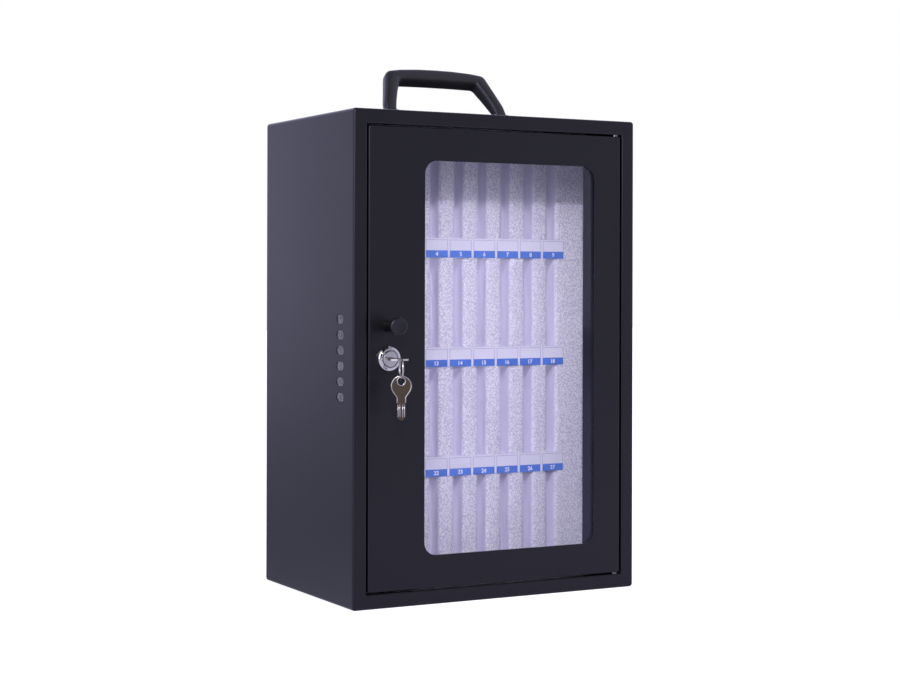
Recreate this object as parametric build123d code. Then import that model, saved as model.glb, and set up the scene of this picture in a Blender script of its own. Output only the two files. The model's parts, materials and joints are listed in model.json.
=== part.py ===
"""Portable phone locker box: a steel cabinet with a glazed, locking door, a slotted foam block and a folding handle.

Millimetres. The origin is the centre of the cabinet's underside, +X to the right, +Y to the back, +Z up.
"""

import os
from math import cos, radians, sin

from build123d import *

# ---- cabinet --------------------------------------------------------------------------------------------------------
width = 300.0
depth = 200.0
height = 450.0
sheet = 1.0  # thickness of every steel panel
wrap_radius = 3.0  # outside radius of the long folds between the sides, top and bottom
fold_radius = 2.0  # outside radius of the front and rear folds
lip = 13.5  # width of the frame round the door
lip_return = 15.5  # depth of the return behind that frame
mouth_radius = 1.4  # outside radius of the fold between the lip and its return
rear_flange = 12.0
panel_margin = 0.3  # between the back panel's edge and the inside of the folds
keeper_width = 6.0  # flange at the end of the lock side's return, which the cam catches

vent_count = 6
vent_length = 15.0
vent_height = 8.0
vent_pitch = 14.1
vent_from_front = 28.0

# ---- door -----------------------------------------------------------------------------------------------------------
door_gap = 1.5  # on the lock side, top and bottom
hinge_gap = 2.0  # on the hinge side
door_return = 14.0
door_fold = 1.5
door_corner = 2.0
pivot_inset = 4.0  # from the door's hinge edge, and from its face, to the hinge pin's axis
window_from_hinge = 29.8  # from the door's hinge edge to the window
window_from_lock = 57.0  # from the door's lock edge to the window
window_from_ends = 30.0  # from the door's top and bottom edges to the window
window_radius = 12.0
pane_thickness = 3.0
pane_overlap = 7.0
pane_radius = 6.0

pin_radius = 2.0
pin_head_radius = 2.8
pin_head = 1.6
running = 0.05  # radial clearance of everything that turns on a pin or in a bore
washer_radius = 3.0
washer_thickness = 1.3
hinge_plate_length = 22.0
hinge_plate_thickness = 2.0
pin_past_plate = 2.0

clip_width = 12.0
clip_foot = 10.0
clip_tab = 4.0
clip_clear = 0.5  # between a clip's riser and the pane's edge
clip_from_ends = 60.0  # from the window's top and bottom to the outer clips up each side
stud_radius = 1.5
stud_length = 7.0
m3_across_flats = 5.5
m3_nut = 2.4

# ---- lock, knob and keys --------------------------------------------------------------------------------------------
lock_from_side = 34.7
bezel_radius = 11.3
bezel_thickness = 4.5
bezel_edge = 2.4
bezel_notch = 2.2
barrel_radius = 9.5
barrel_flats = 16.1
hole_clear = 0.05
lock_nut_flats = 22.0
lock_nut_thickness = 4.5
plug_radius = 7.0
plug_proud = 0.8
keyway_clear = 0.15
keyway_depth = 16.0
cam_behind_keeper = 1.0
cam_thickness = 2.0
cam_width = 13.0
cam_reach = 28.5
cam_seat_radius = 4.0
cam_seat_flats = 6.0
cam_screw_flats = 8.0
cam_screw_head = 2.8
cam_screw_radius = 2.0
cam_screw_length = 6.5

key_thickness = 1.5
key_bow_radius = 9.5
key_hole_radius = 3.3
key_hole_rise = 4.3
key_shoulder_width = 8.8
key_shoulder = 5.5
key_blade_width = 7.0
key_blade = 15.5
key_point = 2.5
key_groove_width = 1.5
key_groove_depth = 0.45
key_cuts = (0.4, 0.8, 0.3, 0.6)
ring_radius = 9.0  # to the middle of its wire
ring_wire = 1.2
ring_wire_width = 1.8
ring_wire_round = 0.5
ring_turn = 17.0  # degrees that the ring's plane stands from the key's axis
ring_clear = 0.2
spare_clear = 0.3

knob_above_lock = 29.5
knob_length = 23.0
knob_head = 6.0  # length of its head
knob_face_radius = 8.3
knob_back_radius = 7.5  # of the head where it meets the neck's flare
knob_band = 2.0  # straight band behind its face
knob_edge = 1.7  # rounding of the face's edge
knob_dish = 0.6  # depth of the hollow in its face
knob_neck_radius = 4.8
knob_neck_from = 3.0
knob_neck_to = 11.5
knob_foot_radius = 5.4
knob_foot = 1.2
knob_bore_depth = 12.0
knob_screw_radius = 2.0
knob_screw_head_radius = 3.8
knob_screw_head = 2.4

# ---- foam and labels ------------------------------------------------------------------------------------------------
foam_side_gap = 6.0  # between the foam and the cabinet's sides
foam_top_gap = 7.0
foam_from_front = 79.0
foam_end = 33.7  # width beside the outer slots
row_count = 4
slot_count = 9
slot_width = 9.0
slot_depth = 14.0
slot_lip = 3.5  # rounding of a slot's upright edges
shelf_height = 19.8
label_end = 13.3  # from the middle of an outer slot to the end of a row's label strip
label_height = 18.0
label_thickness = 0.5

# ---- handle ---------------------------------------------------------------------------------------------------------
handle_back = 3.0  # its pivot behind the middle of the top
handle_lean = 35.0  # degrees back from upright, as it is left
handle_base_width = 134.0
handle_leg_slope = 11.0  # how far each leg leans in towards the bar
handle_bar_width = handle_base_width - 2 * handle_leg_slope
handle_rise = 49.6  # from the pivot to the middle of the bar
bar_height = 12.8
bar_depth = 19.0
bar_crown = 2.5
leg_width = 11.6
leg_swell = 1.0  # how much wider a leg is where it meets the bar
leg_straight = 9.0
leg_waist = 26.0  # height of the place up to which a leg stays slim, seen from its end
leg_waist_depth = 13.5
boss_radius = 4.8
boss_clear = 0.3
bow_outer_round = 3.0
bow_inner_round = 2.4
handle_bore_clear = 0.06
bow_corner = 4.5
bow_inner_corner = 8.0

bracket_sheet = 1.2
bracket_length = 34.0
bracket_width = 14.0
bracket_ear_radius = 4.8
bracket_corner = 3.0
handle_pin_head_radius = 3.3
handle_pin_head = 1.0
screw_radius = 1.5
screw_head_radius = 2.8
screw_head = 2.0
screw_recess = 3.9
screw_recess_width = 0.7
screw_recess_depth = 1.0
screw_spacing = 25.0
screw_grip = 8.0
screw_clear = 0.1

# ---- places worked out from the sizes above -------------------------------------------------------------------------
front = -depth / 2
middle = height / 2
mouth_width = width - 2 * lip
mouth_height = height - 2 * lip
keeper_back = front + lip_return

door_left = -mouth_width / 2 + door_gap
door_right = mouth_width / 2 - hinge_gap
door_width = door_right - door_left
door_height = mouth_height - 2 * door_gap
door_centre = (door_left + door_right) / 2
door_top = middle + door_height / 2
skin_back = front + sheet
pivot_x = door_right - pivot_inset
pivot_y = front + pivot_inset

window_width = door_width - window_from_hinge - window_from_lock
window_height = door_height - 2 * window_from_ends
window_centre = door_right - window_from_hinge - window_width / 2
pane_width = window_width + 2 * pane_overlap
pane_height = window_height + 2 * pane_overlap
pane_back = skin_back + pane_thickness
clip_rise = window_height / 2 - clip_from_ends
clip_stud = clip_clear + clip_foot / 2 + sheet / 2  # from the pane's edge to the stud's axis

lock_x = -width / 2 + lock_from_side
lock_z = middle
cam_front = keeper_back + cam_behind_keeper
plug_face = front - bezel_thickness - plug_proud
knob_z = lock_z + knob_above_lock

key_bow_y = plug_face - key_shoulder - key_bow_radius
key_hole_y = key_bow_y - key_hole_rise
ring_out = Vector(-sin(radians(ring_turn)), -cos(radians(ring_turn)), 0)
key_rim = (
    (key_bow_radius**2 - (key_hole_rise * sin(radians(ring_turn))) ** 2) ** 0.5
    - key_hole_rise * cos(radians(ring_turn))
    - key_hole_radius
)
ring_top_z = lock_z + key_thickness / 2 + ring_clear + ring_wire / 2
ring_centre = Vector(lock_x, key_hole_y, ring_top_z - ring_radius) + ring_out * (key_hole_radius + key_rim / 2)
spare_hole_z = ring_centre.Z - ring_radius + ring_wire / 2 + spare_clear - key_hole_radius

panel_front = depth / 2 - 2 * sheet
foam_width = width - 2 * sheet - 2 * foam_side_gap
foam_front = front + foam_from_front
slot_back = foam_front + slot_depth
slot_pitch = (foam_width - 2 * foam_end - slot_width) / (slot_count - 1)
row_pitch = (height - 2 * sheet - foam_top_gap - shelf_height) / row_count
slot_xs = [(i - (slot_count - 1) / 2) * slot_pitch for i in range(slot_count)]
shelf_zs = [sheet + i * row_pitch for i in range(row_count + 1)]

handle_z = height + bracket_sheet + boss_clear + boss_radius
leg_x = (handle_base_width - leg_width) / 2
ear_gap = leg_width + 2 * boss_clear


def slab(sketch, near, far):
    """A sketch in x and z, carried from y = near back to y = far."""
    plane = Plane(origin=(0, far, 0), x_dir=(1, 0, 0), z_dir=(0, -1, 0))
    return extrude(plane * sketch, far - near)


def block(x0, x1, y0, y1, z0, z1):
    return Pos((x0 + x1) / 2, (y0 + y1) / 2, (z0 + z1) / 2) * Box(x1 - x0, y1 - y0, z1 - z0)


def post(radius, x, y, low, high):
    """An upright cylinder."""
    return Pos(x, y, (low + high) / 2) * Cylinder(radius, high - low)


def bar_y(radius, x, z, near, far):
    """A cylinder along Y."""
    return slab(Pos(x, z) * Circle(radius), near, far)


def bar_x(radius, y, z, left, right):
    """A cylinder along X."""
    return Pos((left + right) / 2, y, z) * Rot(0, 90, 0) * Cylinder(radius, right - left)


def hexagon(across_flats):
    return RegularPolygon(across_flats / 2, 6, major_radius=False)


def end_edges(solid, axis, index):
    """Edges round the outermost flat face of a solid, seen along an axis: index 0 is its low end, -1 its high end."""
    face = solid.faces().filter_by(axis).sort_by(axis)[index]
    return face.outer_wire().edges()


# ---- cabinet --------------------------------------------------------------------------------------------------------
def folded_block(inset):
    """The cabinet's outer form, or with an inset of one sheet its inner form, with every fold rounded."""
    outline = Pos(0, middle) * RectangleRounded(width - 2 * inset, height - 2 * inset, wrap_radius - inset)
    solid = slab(outline, front + inset, -front - inset)
    solid = fillet(end_edges(solid, Axis.Y, 0), fold_radius - inset)
    return fillet(end_edges(solid, Axis.Y, -1), fold_radius - inset)


def make_cabinet_body():
    body = folded_block(0) - folded_block(sheet)
    mouth = Pos(0, middle) * Rectangle(mouth_width, mouth_height)
    return_outline = Pos(0, middle) * Rectangle(mouth_width + 2 * sheet, mouth_height + 2 * sheet)
    body += slab(return_outline - mouth, front, keeper_back)
    body -= slab(mouth, front - sheet, skin_back + sheet)
    lip_face = body.faces().filter_by(Axis.Y).sort_by(Axis.Y)[0]
    body = fillet(lip_face.inner_wires()[0].edges(), mouth_radius)
    body -= slab(
        Pos(0, middle) * Rectangle(width - 2 * rear_flange, height - 2 * rear_flange),
        panel_front + sheet / 2,
        -front + sheet,
    )
    keeper_left = -mouth_width / 2
    body += block(keeper_left, keeper_left + keeper_width, keeper_back - sheet, keeper_back, lip, height - lip)
    for i in range(vent_count):
        vent_z = middle + (i - (vent_count - 1) / 2) * vent_pitch
        vent = Plane.YZ * Pos(front + vent_from_front, vent_z) * SlotOverall(vent_length, vent_height)
        body -= extrude(vent, width, both=True)
    body -= post(pin_radius, pivot_x, pivot_y, lip - 2 * sheet, lip + sheet)
    body -= post(pin_radius, pivot_x, pivot_y, height - lip - sheet, height - lip + 2 * sheet)
    for x, y in bracket_screw_places():
        body -= post(screw_radius + screw_clear, x, y, height - 2 * sheet, height + sheet)
    return body


def make_back_panel():
    edge = fold_radius + panel_margin
    outline = Pos(0, middle) * RectangleRounded(width - 2 * edge, height - 2 * edge, wrap_radius)
    return slab(outline, panel_front, panel_front + sheet)


# ---- door -----------------------------------------------------------------------------------------------------------
def door_form(inset):
    outline = Pos(door_centre, middle) * RectangleRounded(
        door_width - 2 * inset, door_height - 2 * inset, door_corner - inset
    )
    solid = slab(outline, front + inset, front + door_return)
    return fillet(end_edges(solid, Axis.Y, 0), door_fold - inset)


def lock_section(clear):
    """The lock barrel's double-D section, or the hole that it keeps its place in."""
    disc = Circle(barrel_radius + clear)
    return Pos(lock_x, lock_z) * (disc & Rectangle(3 * barrel_radius, barrel_flats + 2 * clear))


def make_door_panel():
    door = door_form(0) - door_form(sheet)
    door -= slab(
        Pos(window_centre, middle) * RectangleRounded(window_width, window_height, window_radius),
        front - sheet,
        skin_back + sheet,
    )
    door -= slab(lock_section(hole_clear), front - sheet, skin_back + sheet)
    door -= bar_y(knob_screw_radius + screw_clear, lock_x, knob_z, front - sheet, skin_back + sheet)
    for end in (door_top, height - door_top):
        door -= post(pin_radius + running, pivot_x, pivot_y, end - 2 * sheet, end + 2 * sheet)
    return door


def both_ends(solid):
    """A solid at the top of the door, and its mirror image at the bottom."""
    return [solid, mirror(solid, Plane(origin=(0, 0, middle), z_dir=(0, 0, 1)))]


def make_door_hinge_plates():
    """Plates welded under the door's top return and on its bottom one, which carry the pins."""
    top = door_top - sheet
    right = door_right - door_corner
    plate = block(
        right - hinge_plate_length,
        right,
        front + door_fold,
        front + door_return - sheet,
        top - hinge_plate_thickness,
        top,
    )
    plate -= post(pin_radius + running, pivot_x, pivot_y, top - 2 * hinge_plate_thickness, top + sheet)
    return both_ends(plate)


def make_hinge_pins():
    head_low = height - lip + sheet
    tip = door_top - sheet - hinge_plate_thickness - pin_past_plate
    pin = post(pin_radius, pivot_x, pivot_y, tip, head_low)
    pin = chamfer(pin.edges().sort_by(Axis.Z)[0], pin_radius / 4)
    head = post(pin_head_radius, pivot_x, pivot_y, head_low, head_low + pin_head)
    head = fillet(head.edges().sort_by(Axis.Z)[-1], pin_head / 2)
    return both_ends(pin + head)


def make_hinge_washers():
    top = height - lip
    washer = post(washer_radius, pivot_x, pivot_y, top - washer_thickness, top)
    washer -= post(pin_radius, pivot_x, pivot_y, top - 2 * washer_thickness, top + sheet)
    return both_ends(washer)


def make_window_pane():
    outline = Pos(window_centre, middle) * RectangleRounded(pane_width, pane_height, pane_radius)
    return slab(outline, skin_back, pane_back)


def clip_places():
    """Where a clip crosses the pane's edge, each with the turn about Y that faces its foot outwards."""
    places = []
    for rise in (-clip_rise, 0, clip_rise):
        places.append(Pos(window_centre + pane_width / 2, 0, middle + rise) * Rot(0, 0, 0))
        places.append(Pos(window_centre - pane_width / 2, 0, middle + rise) * Rot(0, 180, 0))
    places.append(Pos(window_centre, 0, middle + pane_height / 2) * Rot(0, -90, 0))
    places.append(Pos(window_centre, 0, middle - pane_height / 2) * Rot(0, 90, 0))
    return places


def make_pane_clips():
    """Z-shaped spring clips: a foot on the door's skin, a riser past the pane's edge and a tab on the pane."""
    riser = clip_clear
    outline = Polyline(
        (clip_foot + riser, skin_back),
        (riser, skin_back),
        (riser, pane_back),
        (-clip_tab, pane_back),
        (-clip_tab, pane_back + sheet),
        (riser + sheet, pane_back + sheet),
        (riser + sheet, skin_back + sheet),
        (clip_foot + riser, skin_back + sheet),
        close=True,
    )
    clip = extrude(make_face(outline), clip_width / 2, both=True)
    bends = clip.edges().filter_by(Axis.Z).filter_by(lambda e: abs(e.center().X - riser - sheet) < 0.1)
    clip = fillet([e for e in bends if e.center().Y > pane_back], sheet / 2)
    clip -= bar_y(stud_radius + screw_clear, clip_stud, 0, skin_back - sheet, skin_back + 2 * sheet)
    return [place * clip for place in clip_places()]


def make_pane_studs():
    stud = bar_y(stud_radius, clip_stud, 0, skin_back, skin_back + stud_length)
    stud = chamfer(stud.edges().sort_by(Axis.Y)[-1], stud_radius / 4)
    return [place * stud for place in clip_places()]


def make_pane_nuts():
    foot_top = skin_back + sheet
    nut = slab(Pos(clip_stud, 0) * (hexagon(m3_across_flats) - Circle(stud_radius)), foot_top, foot_top + m3_nut)
    return [place * nut for place in clip_places()]


# ---- lock, knob and keys --------------------------------------------------------------------------------------------
def turned(profile_points, x, z):
    """A piece turned on a lathe: (radius, distance in front of the door's face) points, its axis along Y."""
    profile = make_face(Polyline(*profile_points, close=True))
    return Pos(x, front, z) * Rot(180, 0, 0) * revolve(profile, Axis.Y)


def make_lock_housing():
    bezel = bar_y(bezel_radius, lock_x, lock_z, front - bezel_thickness, front)
    bezel = fillet(end_edges(bezel, Axis.Y, 0), bezel_edge)
    notch_half = bezel_notch / 2
    notch_low = lock_z + bezel_radius - bezel_notch
    bezel -= block(
        lock_x - notch_half,
        lock_x + notch_half,
        front - 2 * bezel_thickness,
        front - bezel_thickness / 2,
        notch_low,
        notch_low + 2 * bezel_notch,
    )
    barrel = slab(lock_section(0), front, cam_front - hole_clear)
    bore = bar_y(plug_radius, lock_x, lock_z, front - 2 * bezel_thickness, cam_front + sheet)
    return bezel + barrel - bore


def make_lock_nut():
    section = hexagon(lock_nut_flats) - Circle(barrel_radius)
    nut = slab(Pos(lock_x, lock_z) * section, skin_back, skin_back + lock_nut_thickness)
    crown = Pos(lock_x, skin_back + lock_nut_thickness / 2, lock_z) * Rot(90, 0, 0)
    crown *= Cone(lock_nut_flats / 2 + lock_nut_thickness, lock_nut_flats / 2 + sheet / 2, lock_nut_thickness)
    return nut & crown


def cam_seat(clear):
    disc = Circle(cam_seat_radius + clear)
    return disc & Rectangle(cam_seat_flats + 2 * clear, 3 * cam_seat_radius)


def make_lock_plug():
    plug = bar_y(plug_radius - running, lock_x, lock_z, plug_face, cam_front)
    plug = fillet(end_edges(plug, Axis.Y, 0), plug_proud / 2)
    plug += slab(Pos(lock_x, lock_z) * cam_seat(0), cam_front, cam_front + cam_thickness - hole_clear)
    keyway_half = key_blade_width / 2 + keyway_clear
    keyway_rise = key_thickness / 2 + keyway_clear
    plug -= block(
        lock_x - keyway_half,
        lock_x + keyway_half,
        plug_face - sheet,
        plug_face + keyway_depth,
        lock_z - keyway_rise,
        lock_z + keyway_rise,
    )
    screw_end = cam_front + cam_thickness - cam_screw_length
    return plug - bar_y(cam_screw_radius, lock_x, lock_z, screw_end - hole_clear, cam_front + 2 * cam_thickness)


def make_lock_cam():
    """A flat cam that hangs down while unlocked and turns a quarter to point behind the keeper flange."""
    arm = Pos(0, -cam_reach / 2) * Rectangle(cam_width, cam_reach)
    arm = fillet(arm.vertices().group_by(Axis.Y)[0], cam_width / 4)
    outline = Circle(cam_width / 2 + sheet) + arm - cam_seat(0)
    return slab(Pos(lock_x, lock_z) * outline, cam_front, cam_front + cam_thickness)


def make_cam_screw():
    seat = cam_front + cam_thickness
    head = slab(Pos(lock_x, lock_z) * hexagon(cam_screw_flats), seat, seat + cam_screw_head)
    return head + bar_y(cam_screw_radius, lock_x, lock_z, seat - cam_screw_length, seat)


def make_key():
    """A key lying in the XY plane, its bow's centre at the origin and its blade along -Y."""
    shoulder_end = -key_bow_radius - key_shoulder
    tip = shoulder_end - key_blade
    half = key_blade_width / 2
    collar = Pos(0, -key_bow_radius) * Rectangle(key_shoulder_width, key_thickness)
    outline = make_hull(Circle(key_bow_radius).edges() + collar.edges())
    outline += Pos(0, shoulder_end / 2) * Rectangle(key_shoulder_width, -shoulder_end)
    blade = Polyline(
        (half, -key_bow_radius),
        (half, tip + key_point),
        (half - key_point, tip),
        (key_point - half, tip),
        (-half, tip + key_point),
        (-half, -key_bow_radius),
        close=True,
    )
    outline += make_face(blade)
    pitch = (key_blade - key_point) / len(key_cuts)
    for i, bite in enumerate(key_cuts):
        cut_y = shoulder_end - (i + 0.7) * pitch
        for side in (-1, 1):
            outline -= Pos(side * half, cut_y) * Rot(0, 0, 45) * Rectangle(bite * 2**0.5, bite * 2**0.5)
    outline -= Pos(0, key_hole_rise) * Circle(key_hole_radius)
    key = extrude(outline, key_thickness / 2, both=True)
    groove_top = -key_bow_radius - key_shoulder / 2
    for side in (-1, 1):
        key -= block(
            -key_groove_width / 2,
            key_groove_width / 2,
            2 * tip,
            groove_top,
            *sorted((side * key_thickness, side * (key_thickness / 2 - key_groove_depth))),
        )
    return key


def make_key_in_lock():
    return Pos(lock_x, key_bow_y, lock_z) * Rot(0, 0, 180) * make_key()


def make_key_ring():
    section = Plane.XZ * Pos(ring_radius, 0) * RectangleRounded(ring_wire, ring_wire_width, ring_wire_round)
    ring = revolve(section, Axis.Z)
    return Plane(origin=ring_centre, x_dir=ring_out, z_dir=ring_out.cross(Vector(0, 0, 1))) * ring


def make_spare_key():
    centre = Vector(ring_centre.X, ring_centre.Y, spare_hole_z - key_hole_rise)
    return Plane(origin=centre, x_dir=ring_out.cross(Vector(0, 0, 1)) * -1, z_dir=ring_out) * make_key()


def make_pull_knob():
    profile = [
        (0, 0),
        (knob_foot_radius, 0),
        (knob_foot_radius, knob_foot),
        (knob_neck_radius, knob_neck_from),
        (knob_neck_radius, knob_neck_to),
        (knob_back_radius, knob_length - knob_head),
        (knob_face_radius, knob_length - knob_band),
        (knob_face_radius, knob_length),
        (0, knob_length),
    ]
    knob = turned(profile, lock_x, knob_z)
    knob = fillet(end_edges(knob, Axis.Y, 0), knob_edge)
    dish_rim = knob_face_radius - knob_edge
    dish_radius = (dish_rim**2 + knob_dish**2) / (2 * knob_dish)
    knob -= Pos(lock_x, front - knob_length + knob_dish - dish_radius, knob_z) * Sphere(dish_radius)
    return knob - bar_y(knob_screw_radius, lock_x, knob_z, front - knob_bore_depth, front + sheet)


def make_knob_screw():
    head = bar_y(knob_screw_head_radius, lock_x, knob_z, skin_back, skin_back + knob_screw_head)
    head = fillet(end_edges(head, Axis.Y, -1), knob_screw_head / 2)
    return head + bar_y(knob_screw_radius, lock_x, knob_z, front - knob_bore_depth + sheet, skin_back)


# ---- foam and labels ------------------------------------------------------------------------------------------------
def make_foam_back_slab():
    return block(-foam_width / 2, foam_width / 2, slot_back, panel_front, sheet, shelf_zs[-1] + shelf_height)


def make_foam_shelf(z):
    return block(-foam_width / 2, foam_width / 2, foam_front, slot_back, z, z + shelf_height)


def foam_rib(left, right, z, rounded):
    """An upright block between two slots, its front corners rounded where a slot opens beside it."""
    rib = block(left, right, foam_front, slot_back, z + shelf_height, z + row_pitch)
    edges = rib.edges().filter_by(Axis.Z).group_by(Axis.Y)[0]
    return fillet([e for e in edges if any(abs(e.center().X - x) < sheet for x in rounded)], slot_lip)


def make_foam_ribs(z):
    half = slot_width / 2
    return [foam_rib(a + half, b - half, z, (a + half, b - half)) for a, b in zip(slot_xs, slot_xs[1:])]


def make_foam_ends(z):
    outer = slot_xs[-1] + slot_width / 2
    return [
        foam_rib(-foam_width / 2, -outer, z, (-outer,)),
        foam_rib(outer, foam_width / 2, z, (outer,)),
    ]


def make_labels(z):
    """One strip of printed film along a shelf, a numbered field under each slot."""
    top = z + shelf_height
    end = slot_xs[-1] + label_end
    return block(-end, end, foam_front - label_thickness, foam_front, top - label_height, top)


# ---- handle ---------------------------------------------------------------------------------------------------------
def bracket_screw_places():
    return [
        (side * leg_x + end * screw_spacing / 2, handle_back) for side in (-1, 1) for end in (-1, 1)
    ]


def bow_outline():
    """The bow seen square on, x across and y up from the pivot: two legs, which slope in to a crowned bar."""
    base = handle_base_width / 2
    shoulder = handle_bar_width / 2
    bar_low = handle_rise - bar_height / 2
    bar_top = handle_rise + bar_height / 2
    outer = [
        (base, -boss_radius),
        (base, leg_straight),
        (shoulder, bar_top - bar_crown),
    ]
    left = [(-x, y) for x, y in reversed(outer)]
    crown = ThreePointArc(outer[-1], (0, bar_top), left[0])
    whole = make_face(Polyline(*outer) + crown + Polyline(*left) + Line(left[-1], outer[0]))
    inner_base = base - leg_width
    inner_top = shoulder - leg_width - leg_swell
    gap = make_face(
        Polyline(
            (inner_base, -2 * boss_radius),
            (inner_base, leg_straight),
            (inner_top, bar_low),
            (-inner_top, bar_low),
            (-inner_base, leg_straight),
            (-inner_base, -2 * boss_radius),
            close=True,
        )
    )
    bow = whole - gap
    tops = bow.vertices().filter_by(lambda v: v.Y > leg_straight + 1)
    bow = fillet([v for v in tops if abs(v.X) > inner_top + 1], bow_corner)
    inner = bow.vertices().filter_by(lambda v: abs(abs(v.X) - inner_top) < 0.1 and abs(v.Y - bar_low) < 0.1)
    return fillet(inner, bow_inner_corner)


def leg_profile():
    """The bow seen from its end, y up from the pivot: an eye, a slim leg and the deep bar that it widens into."""
    bar_low = handle_rise - bar_height / 2
    bar_top = handle_rise + bar_height / 2
    side = [(boss_radius, 0), (leg_waist_depth / 2, leg_waist), (bar_depth / 2, bar_low)]
    right = Spline(*side, tangents=((0, 1), (0, 1)))
    left = Spline(*[(-x, y) for x, y in reversed(side)], tangents=((0, -1), (0, -1)))
    bar = Polyline(right @ 1, (bar_depth / 2, bar_top), (-bar_depth / 2, bar_top), left @ 0)
    return make_face(right + bar + left + Line(left @ 1, right @ 0)) + Circle(boss_radius)


def long_edges(bow):
    """The edges along the bow's front and back above its eyes: first those round its outside, then round its gap."""
    edges = [e for e in bow.edges() if abs(e.center().Y) > sheet and e.center().Z > sheet]
    outside = [e for e in edges if e.center().Z > handle_rise or abs(e.center().X) > handle_bar_width / 2]
    inside = [e for e in edges if e.center().Z < handle_rise and abs(e.center().X) < handle_bar_width / 2]
    return outside, inside


def make_handle_bow():
    across = extrude(Plane.XZ * bow_outline(), bar_depth, both=True)
    along = extrude(Plane.YZ * leg_profile(), handle_base_width, both=True)
    bow = across & along
    bow = fillet(long_edges(bow)[0], bow_outer_round)
    bow = fillet(long_edges(bow)[1], bow_inner_round)
    bow = Pos(0, handle_back, handle_z) * Rot(-handle_lean, 0, 0) * bow
    reach = handle_base_width / 2 + leg_width
    return bow - bar_x(pin_radius + handle_bore_clear, handle_back, handle_z, -reach, reach)


def make_handle_brackets():
    """Steel plates screwed to the top, each with two ears bent up beside the bow's leg."""
    top = height + bracket_sheet
    brackets = []
    for side in (-1, 1):
        centre = side * leg_x
        outline = RectangleRounded(bracket_length, bracket_width, bracket_corner)
        plate = Pos(centre, handle_back, height) * extrude(outline, bracket_sheet)
        for end in (-1, 1):
            inner = centre + end * ear_gap / 2
            outer = inner + end * bracket_sheet
            ear = bar_x(bracket_ear_radius, handle_back, handle_z, *sorted((inner, outer)))
            ear += block(
                *sorted((inner, outer)),
                handle_back - bracket_ear_radius,
                handle_back + bracket_ear_radius,
                height,
                handle_z,
            )
            plate += ear
            screw_x = centre + end * screw_spacing / 2
            plate -= post(screw_radius + screw_clear, screw_x, handle_back, height - sheet, top + sheet)
        reach = ear_gap / 2 + 2 * bracket_sheet
        plate -= bar_x(pin_radius, handle_back, handle_z, centre - reach, centre + reach)
        brackets.append(plate)
    return brackets


def make_handle_pins():
    pins = []
    for side in (-1, 1):
        grip = ear_gap / 2 + bracket_sheet
        head_at = side * (leg_x + grip)
        tail_at = side * (leg_x - grip)
        tail_end = tail_at - side * handle_pin_head
        head_end = head_at + side * handle_pin_head
        pin = bar_x(pin_radius, handle_back, handle_z, *sorted((head_at, tail_at)))
        pin += bar_x(handle_pin_head_radius, handle_back, handle_z, *sorted((head_at, head_end)))
        pin += bar_x(pin_radius + handle_pin_head / 2, handle_back, handle_z, *sorted((tail_at, tail_end)))
        pins.append(pin)
    return pins


def make_handle_screws():
    seat = height + bracket_sheet
    screws = []
    for x, y in bracket_screw_places():
        head = post(screw_head_radius, x, y, seat, seat + screw_head)
        head = fillet(head.edges().sort_by(Axis.Z)[-1], screw_head / 2)
        for size in ((screw_recess, screw_recess_width), (screw_recess_width, screw_recess)):
            head -= Pos(x, y, seat + screw_head) * Box(*size, 2 * screw_recess_depth)
        screws.append(head + post(screw_radius, x, y, seat - screw_grip, seat))
    return screws


def make_handle_nuts():
    under = height - sheet
    return [
        Pos(x, y, under - m3_nut) * extrude(hexagon(m3_across_flats) - Circle(screw_radius), m3_nut)
        for x, y in bracket_screw_places()
    ]


pieces = {
    "cabinet_body": make_cabinet_body(),
    "back_panel": make_back_panel(),
    "door_panel": make_door_panel(),
    "door_hinge_plates": make_door_hinge_plates(),
    "hinge_pins": make_hinge_pins(),
    "hinge_washers": make_hinge_washers(),
    "window_pane": make_window_pane(),
    "pane_clips": make_pane_clips(),
    "pane_studs": make_pane_studs(),
    "pane_nuts": make_pane_nuts(),
    "pull_knob": make_pull_knob(),
    "knob_screw": make_knob_screw(),
    "lock_housing": make_lock_housing(),
    "lock_nut": make_lock_nut(),
    "lock_plug": make_lock_plug(),
    "lock_cam": make_lock_cam(),
    "cam_screw": make_cam_screw(),
    "key_in_lock": make_key_in_lock(),
    "key_ring": make_key_ring(),
    "spare_key": make_spare_key(),
    "foam_back_slab": make_foam_back_slab(),
    "handle_bow": make_handle_bow(),
    "handle_brackets": make_handle_brackets(),
    "handle_pins": make_handle_pins(),
    "handle_screws": make_handle_screws(),
    "handle_nuts": make_handle_nuts(),
}
for i, shelf_z in enumerate(shelf_zs):
    pieces[f"foam_shelf_{i + 1}"] = make_foam_shelf(shelf_z)
for i, shelf_z in enumerate(shelf_zs[:-1]):
    pieces[f"foam_ribs_{i + 1}"] = make_foam_ribs(shelf_z)
    pieces[f"foam_ends_{i + 1}"] = make_foam_ends(shelf_z)
    pieces[f"labels_{i + 1}"] = make_labels(shelf_z)

os.makedirs("parts", exist_ok=True)
for name, piece in pieces.items():
    solids = piece if isinstance(piece, list) else [piece]
    export_step(Compound(children=solids) if len(solids) > 1 else solids[0], f"parts/{name}.step")
    print(name, len(solids), round(sum(s.volume for s in solids)))
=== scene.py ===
import json
import math

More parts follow.
